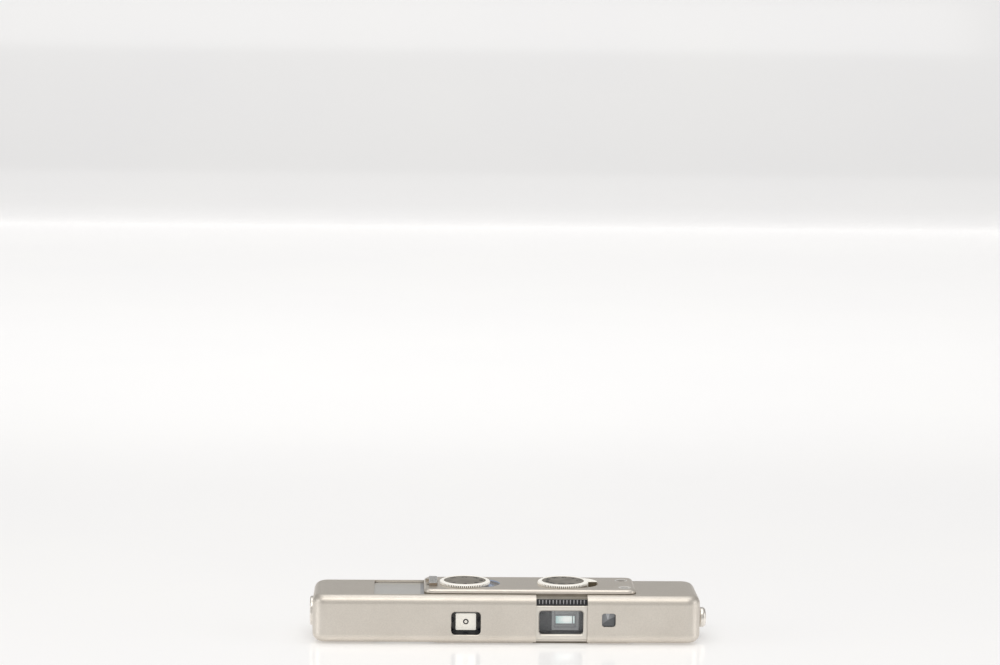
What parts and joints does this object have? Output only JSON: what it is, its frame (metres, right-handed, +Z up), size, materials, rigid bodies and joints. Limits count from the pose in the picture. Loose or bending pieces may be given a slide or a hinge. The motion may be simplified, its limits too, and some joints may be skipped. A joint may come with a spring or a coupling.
{
  "type": "subminiature camera",
  "caption": "Slim pull-open subminiature camera: a sliding sleeve draws off a fixed frame to uncover the lens and viewfinder, with dials on top.",
  "frame": {"origin": "middle of the open camera's box in plan, on the surface that the bottom plate rests on", "axes": "+X along the body from the sliding sleeve to the chain stud, -Y the way the lens looks, +Z up through the dials"},
  "size_m": [0.1282, 0.028, 0.0184],
  "materials": {
    "body_metal": "fine bead-blasted satin, warm champagne silver",
    "plate_metal": "fine satin, polished on its rounded edge",
    "cover_metal": "plain grey satin",
    "dial_metal": "bright satin cone with a knurled rim",
    "bright_metal": "polished",
    "frame_metal": "satin",
    "leaf_metal": "thin satin spring steel",
    "dark_frame": "matt black enamel",
    "steel": "ground",
    "brass": "machined",
    "clear_glass": "polished optical glass",
    "grey_glass": "neutral grey filter glass",
    "black_plastic": "moulded",
    "film": "film emulsion",
    "board": "green circuit board with black chips",
    "cell": "sealed light cell",
    "battery_case": "crimped cells",
    "lamp": "dark domed lens"
  },
  "bodies": {
    "chassis": {"battery": "battery_case", "battery_contacts": "steel", "battery_lamp": "lamp", "bottom_plate": "plate_metal", "cassette_shell": "black_plastic", "chain_stud": "bright_metal", "chassis_frame": "dark_frame", "circuit_board": "board", "counter_window": "clear_glass", "dark_chamber": "dark_frame", "end_cap": "body_metal", "eyepiece_frame": "frame_metal", "eyepiece_lens": "clear_glass", "film_gate": "dark_frame", "film_strip": "film", "finder_frame": "frame_metal", "finder_front_lens": "clear_glass", "finder_mask": "dark_frame", "floor_cover": "cover_metal", "inner_cover": "cover_metal", "lens_guide": "dark_frame", "lens_hood": "dark_frame", "light_collector": "clear_glass", "light_seals": "dark_frame", "meter_frame": "dark_frame", "photocell": "cell", "plate_screws": "steel", "pressure_spring": "steel", "release_lever": "steel", "release_spring": "steel", "ribbed_strip": "dark_frame", "shutter_guide": "dark_frame", "top_plate": "plate_metal"},
    "sleeve": {"sleeve_shell": "body_metal", "end_disc": "bright_metal", "sleeve_rack": "steel"},
    "focus": {"focus_dial": "dial_metal", "focus_spindle": "steel", "focus_cam": "brass"},
    "lens": {"lens_barrel": "brass", "front_element": "clear_glass", "rear_element": "clear_glass"},
    "speed": {"speed_dial": "dial_metal", "speed_spindle": "steel", "speed_cam": "brass"},
    "slider": {"filter_slider": "bright_metal"},
    "lever": {"filter_lever": "steel"},
    "filter": {"filter_blade": "steel", "filter_glass": "grey_glass"},
    "release": {"release_button": "bright_metal"},
    "battery_test": {"check_button": "bright_metal"},
    "first_leaf": {"opening_leaf": "leaf_metal"},
    "second_leaf": {"closing_leaf": "leaf_metal"},
    "counter": {"counter_ring": "bright_metal"},
    "pinion": {"transport_pinion": "brass"},
    "idler": {"idler_gear": "brass"},
    "take_up": {"take_up_spool": "black_plastic", "take_up_gear": "brass"},
    "supply": {"supply_spool": "black_plastic"},
    "pressure": {"pressure_plate": "steel"}
  },
  "joints": [
    {"name": "sleeve_slide", "type": "slide", "parent": "chassis", "child": "sleeve", "axis": [1, 0, 0], "range_m": [0, 0.016]},
    {"name": "focus_turn", "type": "hinge", "parent": "chassis", "child": "focus", "pos_m": [-0.0142, 0, 0.014], "axis": [0, 0, 1], "range_deg": [-150, 150]},
    {"name": "lens_travel", "type": "slide", "parent": "chassis", "child": "lens", "axis": [0, 1, 0], "range_m": [-0.0007, 0.0007]},
    {"name": "speed_turn", "type": "hinge", "parent": "chassis", "child": "speed", "pos_m": [0.0176, 0, 0.014], "axis": [0, 0, 1], "range_deg": [-150, 150]},
    {"name": "filter_slide", "type": "slide", "parent": "chassis", "child": "slider", "axis": [-1, 0, 0], "range_m": [0, 0.001]},
    {"name": "lever_turn", "type": "hinge", "parent": "chassis", "child": "lever", "pos_m": [-0.02449, -0.0002, 0.014], "axis": [0, 0, 1], "range_deg": [0, 38.5]},
    {"name": "filter_travel", "type": "slide", "parent": "chassis", "child": "filter", "axis": [1, 0, 0], "range_m": [0, 0.00625]},
    {"name": "release_press", "type": "slide", "parent": "chassis", "child": "release", "axis": [0, 0, -1], "range_m": [0, 0.0007], "stiffness_N_per_m": 300},
    {"name": "battery_press", "type": "slide", "parent": "chassis", "child": "battery_test", "axis": [0, 0, -1], "range_m": [0, 0.0004], "stiffness_N_per_m": 300},
    {"name": "first_leaf_slide", "type": "slide", "parent": "chassis", "child": "first_leaf", "axis": [-1, 0, 0], "range_m": [0, 0.0083]},
    {"name": "second_leaf_slide", "type": "slide", "parent": "chassis", "child": "second_leaf", "axis": [-1, 0, 0], "range_m": [0, 0.0093]},
    {"name": "counter_turn", "type": "hinge", "parent": "chassis", "child": "counter", "pos_m": [-0.0142, 0, 0.014], "axis": [0, 0, 1], "range_deg": [0, 7.7]},
    {"name": "pinion_turn", "type": "hinge", "parent": "chassis", "child": "pinion", "pos_m": [-0.038, 0.0098, 0.014], "axis": [0, 0, 1], "range_deg": [-382.47, 0]},
    {"name": "idler_turn", "type": "hinge", "parent": "chassis", "child": "idler", "pos_m": [-0.03533, 0.00581, 0.014], "axis": [0, 0, 1], "range_deg": [0, 191.49]},
    {"name": "take_up_turn", "type": "hinge", "parent": "chassis", "child": "take_up", "pos_m": [-0.02945, 0.0046, 0.014], "axis": [0, 0, 1], "range_deg": [-218.77, 0]},
    {"name": "supply_turn", "type": "hinge", "parent": "chassis", "child": "supply", "pos_m": [0.00155, 0.0046, 0.014], "axis": [0, 0, 1], "range_deg": [-218.77, 0]},
    {"name": "pressure_travel", "type": "slide", "parent": "chassis", "child": "pressure", "axis": [0, 1, 0], "range_m": [0, 0.00026]}
  ],
  "couplings": [
    {"joint": "lens_travel", "follows": "focus_turn", "m_per_rad": 0.00022918},
    {"joint": "lever_turn", "follows": "filter_slide", "rad_per_m": 663.23},
    {"joint": "filter_travel", "follows": "filter_slide", "ratio": 6.2},
    {"joint": "counter_turn", "follows": "sleeve_slide", "rad_per_m": 7.854},
    {"joint": "pinion_turn", "follows": "sleeve_slide", "rad_per_m": -416.67},
    {"joint": "idler_turn", "follows": "sleeve_slide", "rad_per_m": 208.33},
    {"joint": "take_up_turn", "follows": "sleeve_slide", "rad_per_m": -238.1},
    {"joint": "supply_turn", "follows": "sleeve_slide", "rad_per_m": -238.1},
    {"joint": "pressure_travel", "follows": "sleeve_slide", "ratio": 0.015625}
  ]
}
